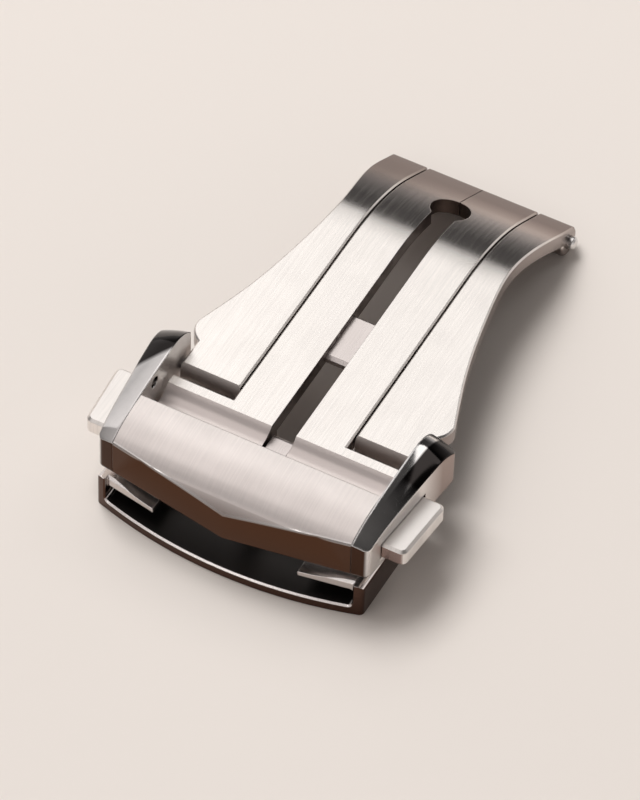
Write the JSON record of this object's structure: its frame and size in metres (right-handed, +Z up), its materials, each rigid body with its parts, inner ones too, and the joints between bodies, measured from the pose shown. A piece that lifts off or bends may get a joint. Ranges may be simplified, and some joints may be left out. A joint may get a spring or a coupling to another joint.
{
  "type": "deployant clasp",
  "caption": "Folding deployant clasp for a watch strap: V-fronted cover plate with side push-buttons, nested inner and outer blades on a knuckle hinge, and a strap frame with a tongue.",
  "frame": {"origin": "middle of the footprint, on the surface that the closed clasp lies on", "axes": "+Z up, out of the wearer's wrist; +Y along the blades from the cover's V towards the far hinge; +X to the right, along the hinge pins"},
  "size_m": [0.025, 0.0388, 0.0077],
  "materials": {
    "brushed_steel": "brushed",
    "polished_steel": "polished",
    "pin_steel": "turned",
    "hard_steel": "satin"
  },
  "bodies": {
    "inner_blade": {"inner_blade": "brushed_steel", "slot_bridge": "polished_steel", "strap_frame": "polished_steel", "frame_rivets": "pin_steel", "far_hinge_pin": "pin_steel", "tongue_pin": "pin_steel", "keeper_left": "hard_steel", "keeper_right": "hard_steel"},
    "outer_blade": {"wing_left": "brushed_steel", "wing_right": "brushed_steel", "cover_pin_left": "pin_steel", "cover_pin_right": "pin_steel"},
    "cover": {"cover_plate": "brushed_steel", "cheek_left": "brushed_steel", "cheek_right": "brushed_steel", "latch_plate": "polished_steel", "latch_screw_left": "pin_steel", "latch_screw_right": "pin_steel", "button_spring_left": "hard_steel", "button_spring_right": "hard_steel"},
    "button_left": {"button_left": "brushed_steel", "button_catch_left": "hard_steel", "catch_rivet_left": "pin_steel"},
    "button_right": {"button_right": "brushed_steel", "button_catch_right": "hard_steel", "catch_rivet_right": "pin_steel"},
    "tongue": {"tongue": "polished_steel", "tongue_stud": "pin_steel"}
  },
  "joints": [
    {"name": "outer_blade_hinge", "type": "hinge", "parent": "inner_blade", "child": "outer_blade", "pos_m": [0, 0.01828, 0.0011], "axis": [-1, 0, 0], "range_deg": [0, 150]},
    {"name": "cover_hinge", "type": "hinge", "parent": "outer_blade", "child": "cover", "pos_m": [0, -0.00748, 0.00435], "axis": [-1, 0, 0], "range_deg": [0, 30]},
    {"name": "button_left_press", "type": "slide", "parent": "cover", "child": "button_left", "axis": [1, 0, 0], "range_m": [0, 0.00065], "stiffness_N_per_m": 600, "springref_m": -0.0004, "deforming": ["button_spring_left"]},
    {"name": "button_right_press", "type": "slide", "parent": "cover", "child": "button_right", "axis": [-1, 0, 0], "range_m": [0, 0.00065], "stiffness_N_per_m": 600, "springref_m": -0.0004, "deforming": ["button_spring_right"]},
    {"name": "tongue_hinge", "type": "hinge", "parent": "inner_blade", "child": "tongue", "pos_m": [0, -0.01038, 0.004], "axis": [-1, 0, 0], "range_deg": [0, 12]}
  ]
}
